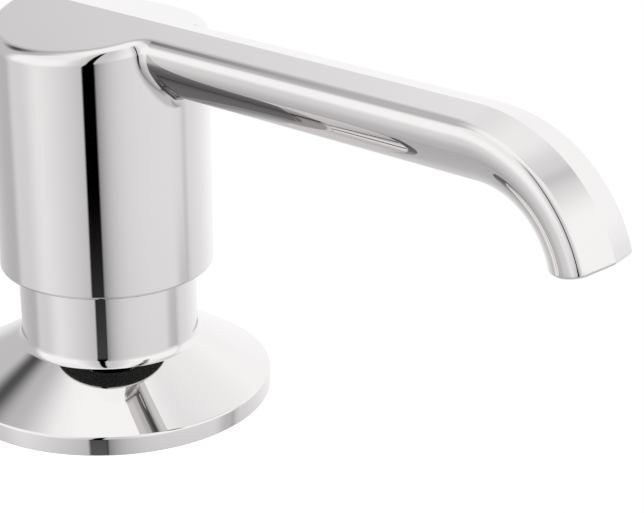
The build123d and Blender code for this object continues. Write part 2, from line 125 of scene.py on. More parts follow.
# Steps of the smooth surfaces
TURN_STEPS = 256
SHANK_STEPS = 128
THREAD_STEPS = 64
SPRING_STEPS = 48
WIRE_SIDES = 12
OUTLET_SIDES = 64
RIM_STEPS = 6
RIM_FOOT_STEPS = 2
COVE_STEPS = 14
COLLAR_STEPS = 3
SHANK_ROUND_STEPS = 3
ROUND_STEPS = 10
JOINT_STEPS = 8
UNDER_STEPS = 9
EDGE_STEPS = 6
BARREL_STEPS = 84
BEND_STEPS = 48
END_STEPS = 2           # of the bend, left out before its end for the end's round

# How near counts as the same place, in millimetres but for the nodes' metres
TURN_MERGE = 1e-5
HEAD_MERGE = 1e-4
NODE_MERGE = 2e-6
SAME_PLACE = 1e-3
SAME_ANGLE = 1e-6

# Surfaces
NOISE_LOW, NOISE_HIGH = 0.3, 0.7    # the range that most of a noise lies in
LATHE_CLIMB = 0.7                   # of the lathe's marks, up the piece
# Near-black colour that paints shade on the head's underside, where the metal is also left dull
UNDERSIDE_PAINTED_SHADE = (0.012, 0.012, 0.011, 1)
BARE_DULLNESS = 0.45


# Node helpers

def add(tree, kind, inputs=None, **settings):
    """A node with its settings, and inputs given as values or as sockets to link."""
    node = tree.nodes.new(kind)
    for name, value in settings.items():
        setattr(node, name, value)
    for name, value in (inputs or {}).items():
        if isinstance(value, bpy.types.NodeSocket):
            tree.links.new(value, node.inputs[name])
        else:
            node.inputs[name].default_value = value
    return node


def calc(tree, operation, *values):
    """The result socket of a Math node."""
    node = add(tree, "ShaderNodeMath", dict(enumerate(values)), operation=operation)
    return node.outputs[0]


def times(tree, first, *others):
    """The product of several values."""
    for value in others:
        first = calc(tree, "MULTIPLY", first, value)
    return first


def less(tree, share):
    """What a share leaves of one."""
    return calc(tree, "SUBTRACT", 1, share)


def between(tree, share, first, second):
    """A value that goes from the first to the second as the share goes from 0 to 1."""
    return calc(tree, "ADD", times(tree, first, less(tree, share)), times(tree, second, share))


def off(tree, value, middle):
    """How far a value lies to either side of a middle."""
    return calc(tree, "ABSOLUTE", calc(tree, "SUBTRACT", value, middle))


def along(tree, vector, direction):
    """How far a vector reaches in a direction."""
    node = add(tree, "ShaderNodeVectorMath", {0: vector, 1: direction}, operation="DOT_PRODUCT")
    return node.outputs["Value"]


def ramp(tree, value, low, high, low_out=0.0, high_out=1.0):
    """A smooth step of a value from low_out to high_out."""
    inputs = {"Value": value, "From Min": low, "From Max": high, "To Min": low_out, "To Max": high_out}
    return add(tree, "ShaderNodeMapRange", inputs, interpolation_type="SMOOTHSTEP").outputs["Result"]


def object_spot(tree):
    """The place on a piece, in its own coordinates."""
    return add(tree, "ShaderNodeTexCoord").outputs["Object"]


def group(name, ins, outs):
    """An empty shader node group with named sockets, and its input and output nodes."""
    tree = bpy.data.node_groups.new(name, "ShaderNodeTree")
    for label, kind, default in ins:
        socket = tree.interface.new_socket(label, in_out="INPUT", socket_type=kind)
        socket.default_value = default
    for label, kind in outs:
        tree.interface.new_socket(label, in_out="OUTPUT", socket_type=kind)
    return tree, tree.nodes.new("NodeGroupInput"), tree.nodes.new("NodeGroupOutput")


def place(tree, shared, inputs):
    """A shared group placed in a material."""
    return add(tree, "ShaderNodeGroup", inputs, node_tree=shared)


# Shared surface effects

def make_handling():
    """Roughness that wanders as on a surface that is wiped and touched."""
    tree, given, out = group(
        "handling",
        [("Low", "NodeSocketFloat", 0.02), ("High", "NodeSocketFloat", 0.06),
         ("Scale", "NodeSocketFloat", 40.0)],
        [("Roughness", "NodeSocketFloat")],
    )
    broad = add(tree, "ShaderNodeTexNoise",
                {"Vector": object_spot(tree), "Scale": given.outputs["Scale"], "Detail": 4.0})
    inputs = {"Value": broad.outputs["Fac"], "From Min": NOISE_LOW, "From Max": NOISE_HIGH,
              "To Min": given.outputs["Low"], "To Max": given.outputs["High"]}
    tree.links.new(add(tree, "ShaderNodeMapRange", inputs).outputs["Result"], out.inputs["Roughness"])
    return tree


def make_grain():
    """Fine moulded or cast grain, as a height."""
    tree, given, out = group(
        "grain",
        [("Scale", "NodeSocketFloat", 2000.0), ("Detail", "NodeSocketFloat", 3.0)],
        [("Height", "NodeSocketFloat")],
    )
    noise = add(tree, "ShaderNodeTexNoise", {"Vector": object_spot(tree), "Scale": given.outputs["Scale"],
                                             "Detail": given.outputs["Detail"]})
    tree.links.new(noise.outputs["Fac"], out.inputs["Height"])
    return tree


def make_mottle():
    """Two close tints that drift into each other."""
    tree, given, out = group(
        "mottle",
        [("Tint A", "NodeSocketColor", (0.5, 0.5, 0.5, 1)), ("Tint B", "NodeSocketColor", (0.6, 0.6, 0.6, 1)),
         ("Scale", "NodeSocketFloat", 60.0)],
        [("Color", "NodeSocketColor")],
    )
    noise = add(tree, "ShaderNodeTexNoise",
                {"Vector": object_spot(tree), "Scale": given.outputs["Scale"], "Detail": 5.0})
    share = ramp(tree, noise.outputs["Fac"], NOISE_LOW, NOISE_HIGH)
    inputs = {0: share, 6: given.outputs["Tint A"], 7: given.outputs["Tint B"]}
    mixed = add(tree, "ShaderNodeMix", inputs, data_type="RGBA")
    tree.links.new(mixed.outputs[2], out.inputs["Color"])
    return tree


def make_turning():
    """Marks of a lathe, as a height that changes with the distance from the axis and the height."""
    tree, given, out = group(
        "turning", [("Pitch", "NodeSocketFloat", 9000.0)], [("Height", "NodeSocketFloat")]
    )
    spot = add(tree, "ShaderNodeSeparateXYZ", {"Vector": object_spot(tree)})
    x, y, z = (spot.outputs[axis] for axis in "XYZ")
    reach = calc(tree, "SQRT", calc(tree, "ADD", times(tree, x, x), times(tree, y, y)))
    marks = calc(tree, "ADD", reach, times(tree, z, LATHE_CLIMB))
    noise = add(tree, "ShaderNodeTexNoise", {"W": marks, "Scale": given.outputs["Pitch"], "Detail": 2.0},
                noise_dimensions="1D")
    tree.links.new(noise.outputs["Fac"], out.inputs["Height"])
    return tree


handling = make_handling()
grain = make_grain()
mottle = make_mottle()
turning = make_turning()


def finish_of(name, constants, tint, wear, bump=None):
    """A Principled material. The tint is two colours and the scale of their drift, the wear the lowest and
    highest roughness and its scale, and the bump a shared height, its inputs, strength and distance."""
    material = bpy.data.materials.new(name)
    material.use_nodes = True
    tree = material.node_tree
    shader = tree.nodes["Principled BSDF"]
    for socket, value in constants.items():
        shader.inputs[socket].default_value = value
    colour = place(tree, mottle, {"Tint A": (*tint[0], 1), "Tint B": (*tint[1], 1), "Scale": tint[2]})
    tree.links.new(colour.outputs["Color"], shader.inputs["Base Color"])
    rough = place(tree, handling, {"Low": wear[0], "High": wear[1], "Scale": wear[2]})
    tree.links.new(rough.outputs["Roughness"], shader.inputs["Roughness"])
    if bump:
        shared, inputs, strength, distance = bump
        height = place(tree, shared, inputs)
        raised = add(tree, "ShaderNodeBump",
                     {"Height": height.outputs["Height"], "Strength": strength, "Distance": distance})
        tree.links.new(raised.outputs["Normal"], shader.inputs["Normal"])
    return material


finishes = {
    "chrome": finish_of(
        "polished_chrome", {"Metallic": 1.0},
        ((0.908, 0.886, 0.885), (0.926, 0.904, 0.903), 30.0), (0.012, 0.035, 45.0)),
    "steel": finish_of(
        "turned_steel", {"Metallic": 1.0},
        ((0.56, 0.56, 0.55), (0.66, 0.66, 0.66), 90.0), (0.22, 0.38, 120.0),
        (turning, {"Pitch": 9000.0}, 0.25, 0.00005)),
    "brass": finish_of(
        "machined_brass", {"Metallic": 1.0},
        ((0.70, 0.50, 0.22), (0.80, 0.63, 0.33), 70.0), (0.18, 0.36, 90.0),
        (turning, {"Pitch": 7000.0}, 0.2, 0.00005)),
    "black_rubber": finish_of(
        "black_rubber", {"Specular IOR Level": 0.35},
        ((0.018, 0.018, 0.018), (0.032, 0.031, 0.030), 120.0), (0.62, 0.82, 80.0),
        (grain, {"Scale": 2600.0, "Detail": 4.0}, 0.35, 0.00008)),
    "dark_plastic": finish_of(
        "grained_dark_plastic", {"Specular IOR Level": 0.45},
        ((0.040, 0.040, 0.043), (0.060, 0.060, 0.064), 60.0), (0.40, 0.58, 70.0),
        (grain, {"Scale": 3200.0, "Detail": 2.0}, 0.4, 0.00006)),
    "white_plastic": finish_of(
        "moulded_white_plastic", {"Specular IOR Level": 0.5},
        ((0.76, 0.76, 0.735), (0.82, 0.82, 0.80), 50.0), (0.24, 0.38, 60.0),
        (grain, {"Scale": 900.0, "Detail": 2.0}, 0.08, 0.00005)),
    "natural_plastic": finish_of(
        "natural_plastic", {"Alpha": 0.72, "Specular IOR Level": 0.5},
        ((0.74, 0.77, 0.76), (0.82, 0.84, 0.83), 60.0), (0.22, 0.36, 60.0),
        (grain, {"Scale": 700.0, "Detail": 2.0}, 0.06, 0.00005)),
    "bottle_plastic": finish_of(
        "blown_bottle_plastic", {"Alpha": 0.58, "Specular IOR Level": 0.5},
        ((0.78, 0.81, 0.81), (0.86, 0.88, 0.88), 35.0), (0.20, 0.36, 45.0),
        (grain, {"Scale": 180.0, "Detail": 3.0}, 0.10, 0.0004)),
}


def painted_shade_below(plated, level):
    """A plated material whose metal is left dull and not metallic below one height, with a near-black colour
    there that paints the shade under the head.
    """
    material = plated.copy()
    material.name = plated.name + "_with_painted_shade_underside"
    tree = material.node_tree
    shader = tree.nodes["Principled BSDF"]
    spot = add(tree, "ShaderNodeSeparateXYZ", {"Vector": object_spot(tree)})
    # Mask of the painted shade and dull metal: everything below the given height
    painted_shade_mask = calc(tree, "LESS_THAN", spot.outputs["Z"], level)
    colour = shader.inputs["Base Color"].links[0].from_socket
    rough = shader.inputs["Roughness"].links[0].from_socket
    # Near-black painted shade mixed into the colour under the head
    mixed = add(tree, "ShaderNodeMix", {0: painted_shade_mask, 6: colour, 7: UNDERSIDE_PAINTED_SHADE}, data_type="RGBA")
    tree.links.new(mixed.outputs[2], shader.inputs["Base Color"])
    dulled = calc(tree, "ADD", rough, times(tree, painted_shade_mask, BARE_DULLNESS))
    tree.links.new(dulled, shader.inputs["Roughness"])
    tree.links.new(less(tree, painted_shade_mask), shader.inputs["Metallic"])
    return material


# Mesh helpers

def put(name, data):
    """A new object in the scene."""
    obj = bpy.data.objects.new(name, data)
    scene.collection.objects.link(obj)
    return obj


def piece(name, bm, node, sharp=30.0, weighted=True, finish=None):
    """Makes a shaped bmesh, in metres, the piece that stands for a node."""
    bmesh.ops.recalc_face_normals(bm, faces=bm.faces)
    limit = radians(sharp)
    for edge in bm.edges:
        edge.smooth = len(edge.link_faces) == 2 and edge.calc_face_angle() < limit
    for face in bm.faces:
        face.smooth = True
    mesh = bpy.data.meshes.new(name)
    bm.to_mesh(mesh)
    bm.free()
    obj = put(name, mesh)
    if weighted:
        normals = obj.modifiers.new("even_normals", "WEIGHTED_NORMAL")
        normals.keep_sharp = True
        normals.weight = 100
    record = frame["record"]
    body = next(b for b, members in record["behaviour"]["bodies"].items() if node in members)
    slot = next(s["material_slot"] for s in record["subparts"] if s["node"] == node)
    mesh.materials.append(finish or finishes[slot])
    obj.visible_glossy = slot == "chrome"
    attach(obj, body)
    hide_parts(node)
    return obj


def to_metres(bm):
    bmesh.ops.scale(bm, vec=(MM, MM, MM), verts=bm.verts)


def turned(profile, steps=TURN_STEPS):
    """A closed profile of (radius, height) points turned all round the axis."""
    bm = bmesh.new()
    verts = [bm.verts.new((r, 0, z)) for r, z in profile]
    edges = [bm.edges.new((a, b)) for a, b in zip(verts, verts[1:] + verts[:1])]
    bmesh.ops.spin(bm, geom=verts + edges, angle=2 * pi, steps=steps, axis=(0, 0, 1),
                   cent=(0, 0, 0), dvec=(0, 0, 0), use_merge=True)
    bmesh.ops.remove_doubles(bm, verts=bm.verts, dist=TURN_MERGE)
    return bm


def round_edge(bm, radius, height, amount, segments):
    """Rounds the circular edge at one radius and height."""
    def on_it(vert):
        beside = abs(hypot(vert.co.x, vert.co.y) - radius)
        return beside < SAME_PLACE and abs(vert.co.z - height) < SAME_PLACE

    edges = [e for e in bm.edges if on_it(e.verts[0]) and on_it(e.verts[1])]
    bmesh.ops.bevel(bm, geom=edges, offset=amount, offset_type="OFFSET", affect="EDGES",
                    segments=segments, profile=0.5, material=-1)


def drawn_out(bm, edges):
    """Extrudes an open edge, and gives the new edge and its vertices."""
    made = bmesh.ops.extrude_edge_only(bm, edges=edges)["geom"]
    new_edges = [e for e in made if isinstance(e, bmesh.types.BMEdge)]
    return new_edges, [v for v in made if isinstance(v, bmesh.types.BMVert)]


def slerp(a, b, t):
    """Unit vector a share t of the way round from a to b."""
    angle = a.angle(b)
    if angle < SAME_ANGLE:
        return a.copy()
    return (a * sin((1 - t) * angle) + b * sin(t * angle)) / sin(angle)


# Chrome flange: rim, cone and a hollow round into the neck
def chrome_flange():
    bm = turned(FLANGE_PROFILE)
    round_edge(bm, FLANGE_RADIUS, RIM_HEIGHT, RIM_ROUND, RIM_STEPS)
    round_edge(bm, FLANGE_RADIUS, 0, RIM_FOOT_ROUND, RIM_FOOT_STEPS)
    round_edge(bm, NECK_RADIUS, CONE_TOP, COVE_REACH, COVE_STEPS)
    to_metres(bm)
    return piece("chrome_flange", bm, "flange", sharp=24)


# Chrome collar: cup flush with the flange's neck, with a foot, ring grooves and a spigot
def chrome_collar():
    bm = turned(COLLAR_PROFILE)
    round_edge(bm, NECK_RADIUS, COLLAR_TOP, COLLAR_ROUND, COLLAR_STEPS)
    to_metres(bm)
    return piece("chrome_collar", bm, "collar", sharp=24)


def top_rib(wall, out, size):
    """Points of the top's rounded edge, from the wall up to the roof, at one place of the outline."""
    x = wall.x - size * out.x
    y = wall.y - size * out.y
    lean = ROOF_SLOPE * min(1.0, max(0.0, y / RIDGE_EASE))
    up = Vector((0, lean, 1)).normalized()
    level = Vector((out.x, out.y, 0))
    centre = Vector((x, y, RIDGE - ROOF_SLOPE * y - size * sqrt(1 + lean * lean)))
    return [centre + size * slerp(level, up, k / ROUND_STEPS) for k in range(ROUND_STEPS + 1)]


def swung(point, centre_x, centre_z, angle):
    """A point of the spout's straight end, turned down round a bend."""
    reach = point.z - centre_z
    return Vector((centre_x + reach * sin(angle), point.y, centre_z + reach * cos(angle)))


def under_section():
    """Points and outward directions from the spout's flank, down round its underside to the middle."""
    places = []
    y, z, turned_to = SPOUT_HALF, UNDER_Z, 0.0
    for until, size in UNDER_ARCS:
        until = radians(until)
        middle = Vector((0, y - size * cos(turned_to), z + size * sin(turned_to)))
        for k in range(1, UNDER_STEPS + 1):
            turn = turned_to + (until - turned_to) * k / UNDER_STEPS
            out = Vector((0, cos(turn), -sin(turn)))
            places.append((middle + size * out, out))
        y, z, turned_to = places[-1][0].y, places[-1][0].z, until
    places[-1][0].y = 0
    return places


# Chrome head: barrel under a gable roof, rolled into a spout that bends down
def chrome_head():
    bm = bmesh.new()
    last = BARREL_STEPS

    def row(points):
        return [bm.verts.new(p) for p in points]

    def skin(first, second):
        for a, b, c, d in zip(first, first[1:], second[1:], second):
            bm.faces.new((a, b, c, d))

    def foot(point):
        flat = Vector((point.x, point.y)).normalized() * HEAD_RADIUS
        return bm.verts.new((flat.x, flat.y, HEAD_LOW + HEAD_EDGE))

    # Outline of one side, from the back of the ridge to where the spout runs straight
    joint_y = SPOUT_HALF + JOINT_ROUND
    joint_x = sqrt((HEAD_RADIUS + JOINT_ROUND) ** 2 - joint_y**2)
    joint_at = atan2(joint_y, joint_x)
    outline = []
    for i in range(BARREL_STEPS + 1):
        turn = pi + (joint_at - pi) * i / BARREL_STEPS
        out = Vector((cos(turn), sin(turn)))
        outline.append((HEAD_RADIUS * out, out, HEAD_ROUND))
    for k in range(1, JOINT_STEPS + 1):
        turn = joint_at + pi + (pi / 2 - joint_at) * k / JOINT_STEPS
        out = Vector((-cos(turn), -sin(turn)))
        size = HEAD_ROUND + (SPOUT_ROUND - HEAD_ROUND) * k / JOINT_STEPS
        outline.append((Vector((joint_x, joint_y)) - JOINT_ROUND * out, out, size))
    ribs = [top_rib(*spot) for spot in outline]

    # Rounded top edge, which eases along the bend
    shares = [i / BEND_STEPS for i in range(BEND_STEPS - END_STEPS)] + [1.0]
    bends = [BEND_ANGLE * share for share in shares]
    for share, angle in zip(shares, bends):
        ease = max(0, 1 - share / BEND_EASE) ** BEND_EASE_POWER
        size = BEND_ROUND + (SPOUT_ROUND - BEND_ROUND) * ease
        flank = top_rib(Vector((BEND_X, SPOUT_HALF)), Vector((0, 1)), size)
        ribs.append([swung(p, BEND_X, BEND_Z, angle) for p in flank])
    top = [row(points) for points in ribs]
    for first, second in zip(top, top[1:]):
        skin(first, second)

    # Roof
    ridge = row([swung(Vector((BEND_X, 0, RIDGE)), BEND_X, BEND_Z, angle) for angle in bends])
    straight = top[:len(outline) + 1]
    bm.faces.new([rib[-1] for rib in straight] + [ridge[0]])
    skin([rib[-1] for rib in top[len(outline):]], ridge)

    # Barrel's wall
    feet = [foot(wall) for wall, _, _ in outline[:last + 1]]
    for i in range(last - 1):
        bm.faces.new((top[i][0], top[i + 1][0], feet[i + 1], feet[i]))

    # Rolled joint between the barrel and the spout
    upper = [rib[0] for rib in top[last:last + JOINT_STEPS + 1]]
    flanks = row([Vector((v.co.x, v.co.y, min(UNDER_Z, v.co.z - FLANK_LEAST))) for v in upper])
    levels = [upper, flanks]
    section = under_section()
    for point, out in section:
        centre = point + JOINT_ROUND * out
        centre.x = sqrt((HEAD_RADIUS + JOINT_ROUND) ** 2 - centre.y**2)
        to_barrel = -Vector((centre.x, centre.y, 0)).normalized()
        levels.append(row([centre + JOINT_ROUND * slerp(to_barrel, -out, k / JOINT_STEPS)
                           for k in range(JOINT_STEPS + 1)]))
    for first, second in zip(levels, levels[1:]):
        skin(first, second)
    bm.faces.new((top[last - 1][0], top[last][0], levels[1][0], feet[last], feet[last - 1]))
    front_feet = [feet[last]] + [foot(level[0].co) for level in levels[2:]]
    skin([level[0] for level in levels[1:]], front_feet)

    # Spout's flanks and round underside, on a bend of its own that ends in the same plane
    lag = (BEND_X - UNDER_X) * cos(BEND_ANGLE) + (UNDER_BEND_Z - BEND_Z) * sin(BEND_ANGLE)
    girth = [Vector((UNDER_X, SPOUT_HALF, UNDER_Z))] + [point for point, _ in section]
    ends = [BEND_ANGLE + asin(lag / (p.z - UNDER_BEND_Z)) for p in girth]
    under = []
    for share, rib in zip(shares, top[len(outline):]):
        bent = [swung(p, UNDER_X, UNDER_BEND_Z, end * share) for p, end in zip(girth, ends)]
        under.append([rib[0]] + row(bent))
    skin([level[-1] for level in levels], under[0])
    for first, second in zip(under, under[1:]):
        skin(first, second)
    bmesh.ops.mirror(bm, geom=bm.verts[:] + bm.edges[:] + bm.faces[:], axis="Y", merge_dist=HEAD_MERGE)
    bmesh.ops.remove_doubles(bm, verts=bm.verts, dist=HEAD_MERGE)

    # Open lower edge: round, ring, bore and the stepped pocket of the insert
    low = HEAD_LOW + 2 * HEAD_EDGE
    lip = [e for e in bm.edges if e.is_boundary and all(v.co.z < low for v in e.verts)]
    turns = [pi / 2 * k / EDGE_STEPS for k in range(1, EDGE_STEPS + 1)]
    lips = [(HEAD_RADIUS - HEAD_EDGE * (1 - cos(t)), HEAD_LOW + HEAD_EDGE * (1 - sin(t))) for t in turns]
    for radius, height in (*lips, (HEAD_BORE, HEAD_LOW), *HEAD_INSIDE):
        lip, verts = drawn_out(bm, lip)
        for vert in verts:
            flat = Vector((vert.co.x, vert.co.y)).normalized() * radius
            vert.co = (flat.x, flat.y, height)
    bmesh.ops.edgeloop_fill(bm, edges=lip)

    # Square end, rounded at its edge, with the outlet's hole
    onward = Vector((cos(BEND_ANGLE), 0, -sin(BEND_ANGLE)))
    end_at = Vector((BEND_X, 0, BEND_Z))

    def at_end(vert):
        return abs((vert.co - end_at).dot(onward)) < SAME_PLACE

    rim = [e for e in bm.edges if e.is_boundary and all(at_end(v) for v in e.verts)]
    reach = RIDGE - OUTLET_DROP - BEND_Z
    centre = Vector((BEND_X + reach * sin(BEND_ANGLE), 0, BEND_Z + reach * cos(BEND_ANGLE)))
    for vert in {v for e in rim for v in e.verts}:
        vert.co -= END_ROUND * onward
    for k in range(1, EDGE_STEPS + 1):
        rim, verts = drawn_out(bm, rim)
        before, after = pi / 2 * (k - 1) / EDGE_STEPS, pi / 2 * k / EDGE_STEPS
        for vert in verts:
            inward = centre - vert.co
            inward = (inward - inward.dot(onward) * onward).normalized()
            vert.co += END_ROUND * ((sin(after) - sin(before)) * onward + (cos(before) - cos(after)) * inward)
    facing = Matrix.Translation(centre) @ onward.to_track_quat("Z", "Y").to_matrix().to_4x4()
    made = bmesh.ops.create_circle(bm, cap_ends=False, radius=OUTLET_RADIUS, segments=OUTLET_SIDES, matrix=facing)
    hole = list({e for v in made["verts"] for e in v.link_edges})
    bmesh.ops.bridge_loops(bm, edges=rim + hole)
    hole, verts = drawn_out(bm, hole)
    bmesh.ops.translate(bm, vec=onward * -OUTLET_DEPTH, verts=verts)
    bmesh.ops.edgeloop_fill(bm, edges=hole)
    to_metres(bm)
    # The head's underside gets painted shade and dull, unplated metal
    finish = painted_shade_below(finishes["chrome"], (HEAD_LOW + PAINTED_SHADE_RISE) * MM)
    return piece("chrome_head", bm, "spout_head", sharp=16, finish=finish)


# Shank: bored brass tube with a head and a rolled thread
def brass_shank():
    bm = turned(SHANK_PROFILE, SHANK_STEPS)
    round_edge(bm, SHANK_CORE, SHANK_LOW, SHANK_ROUND, SHANK_ROUND_STEPS)
    tooth = bmesh.new()
    face = tooth.faces.new([tooth.verts.new((r, 0, THREAD_LOW + z)) for r, z in THREAD_TOOTH])
    bmesh.ops.spin(tooth, geom=[face], angle=2 * pi * THREAD_TURNS, steps=THREAD_TURNS * THREAD_STEPS,
                   axis=(0, 0, 1), cent=(0, 0, 0), dvec=(0, 0, THREAD_PITCH / THREAD_STEPS), use_merge=False)
    mesh = bpy.data.meshes.new("thread")
    tooth.to_mesh(mesh)
    tooth.free()
    bm.from_mesh(mesh)
    bpy.data.meshes.remove(mesh)
    to_metres(bm)
    return piece("brass_shank", bm, "shank")


# Return spring: round wire wound up the pump
def steel_spring():
    bm = bmesh.new()
    steps = SPRING_TURNS * SPRING_STEPS
    facing = Matrix.Translation((SPRING_RADIUS, 0, SPRING_LOW)) @ Matrix.Rotation(pi / 2, 4, "X")
    made = bmesh.ops.create_circle(bm, cap_ends=True, radius=WIRE_RADIUS, segments=WIRE_SIDES, matrix=facing)
    bmesh.ops.spin(bm, geom=list(made["verts"][0].link_faces), angle=2 * pi * SPRING_TURNS, steps=steps,
                   axis=(0, 0, 1), cent=(0, 0, 0), dvec=(0, 0, (SPRING_HIGH - SPRING_LOW) / steps),
                   use_merge=False)
    to_metres(bm)
    coil = piece("steel_spring", bm, "return_spring", weighted=False)
    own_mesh(coil)
    return coil


FLAT_ANGLE = radians(0.5)       # under which a solid's triangles lie in one face
BROKEN_ANGLE = radians(40)      # over which an edge is broken


def dressed(name, node, bevel=0.0, segments=2):
    """A merged copy of a node's solid, with its edges broken as the real piece's are."""
    bm = bmesh.new()
    bm.from_mesh(frame["nodes"][node].data)
    bmesh.ops.remove_doubles(bm, verts=bm.verts, dist=NODE_MERGE)
    if bevel:
        bmesh.ops.dissolve_limit(bm, angle_limit=FLAT_ANGLE, verts=bm.verts, edges=bm.edges)
        edges = [e for e in bm.edges if len(e.link_faces) == 2 and e.calc_face_angle() > BROKEN_ANGLE]
        bmesh.ops.bevel(bm, geom=edges, offset=bevel * MM, offset_type="OFFSET", affect="EDGES",
                        segments=segments, profile=0.5, material=-1, clamp_overlap=True)
    return piece(name, bm, node)


chrome_flange()
chrome_collar()
chrome_head()
brass_shank()
steel_spring()
dressed("hand_nut", "mounting_nut", 0.5, 3)
dressed("deck_washer", "clamp_washer", 0.25, 2)
dressed("soap_bottle", "bottle")
dressed("flange_seal", "flange_gasket", 0.2, 2)
for node in ("glide_ring", "seat_ring", "pump_housing", "housing_gasket", "pump_cap", "stem_bush", "valve_cage",
             "inlet_ball", "dip_tube", "stem", "stem_o_ring", "outlet_ball", "piston", "piston_seal",
             "head_insert", "spout_tube", "nozzle_tip"):
    dressed(node + "_dressed", node)


# Studio: a pale floor, soft lamps, and surroundings of grey and white that the chrome mirrors

TOWARDS_CAMERA = Vector((0.6534, -0.7570, 0.0)).normalized()
PICTURE_RIGHT = Vector((0.7570, 0.6534, 0.0)).normalized()
DEGREES = 180 / pi

# Directions are in degrees, to the right of the camera and above the horizon. A ramp is where it starts and
# ends, and how much it gives there; with two numbers it goes from 0 to 1.
RIGHT_START, RIGHT_RISE = -4, 14                # wall on the right: where it is black, and how fast it brightens
RIGHT_TONE = (80, 100, 0.787, 0.735)
RIGHT_BEHIND = (98, 168, 0, 0.25)
LEFT_START, LEFT_RISE, LEFT_POWER = -12, 46, 0.8
LEFT_TONE, LEFT_GAIN = 0.56, 0.293              # wall on the left: at the gap, and what it gains
LEFT_DIM = (-84, -62, 0.82, 1)
LEFT_BEHIND = (-178, -148, 0.24, 0)
PANEL_NEAR = (-107, -95, 1, 0)
PANEL_FAR = (-165, -110)
PANEL_DEPTH = (-34, -22, 0.12, 0.29)
WALLS_MEET = 0.5
WALLS_LOW = (-42, -18, 0.72, 1)
GROUND_FRONT = (-38, -26, 0.6, 0)
GROUND_SPAN = (70, 96, 1, 0)
GROUND_BELOW = (-66, -54, 0.8, 0)
HORIZON = (-14, 8)
CEILING_TONE = 0.985
EDGE_BACK_HIGH = (-195, -150)
EDGE_BACK = (-174, -152)
EDGE_RISE = (10, 22)
EDGE_NEAR = (-104, -88, 1, 0)
EDGE_RIGHT = (150, 180, 0, 0.27)
EDGE_HIGH = (54, 72, 0.43, 0)
PATCH_SIDE, PATCH_WIDTH = -132, (5, 22, 0.84, 0)
PATCH_LOW = (31, 41)
PATCH_HIGH = (42, 54, 1, 0)
SHADE_SIDE, SHADE_WIDTH = 102, (4, 36, 0.28, 0.08)
SHADE_LOW = (28, 48)
SHADE_HIGH = (64, 80, 1, 0)
OVERHEAD_SIDE, OVERHEAD_WIDTH = -2, (6, 42, 0.38, 0)
UPRIGHT_SIDE, UPRIGHT_WIDTH = 101, (0, 7, 1, 0)
UPRIGHT_TONE = (-28, -18, 0.34, 0.14)
UPRIGHT_HIGH = (50, 62, 1, 0)
STAND_SIDE, STAND_WIDTH = 97, (2, 15, 0.24, 0)
STAND_HIGH = (-24, -20, 1, 0)
GAP_SIDE, GAP_EDGE = -5.1, (-1.3, 1.3, 1, 0)
GAP_HALF = (-17, 8, 6.75, 3.8)
GAP_HIGH = (58, 72, 1, 0)
GAP_LOW = (-30, -20, 0.8, 1)
GAP_FOOT = (-40, -30)
AGAIN_TONE = (48, 68, 0.69, 1)                  # what each further mirror keeps of the light
EVEN_LIGHT = 0.62                               # on matt surfaces

# Floor, in metres; its edges are ramps along and across the camera's view
FLOOR_RADIUS = 1.5
FLOOR_LEVEL = -0.0001
FLOOR_GLOW = 0.55
FLOOR_FRONT = (0.0465, 0.0490)
FLOOR_BACK = (-0.032, -0.026, 1, 0)
FLOOR_SIDE = (0.032, 0.038)
LAMPS_FACE = Vector((0, 0, 0.02))


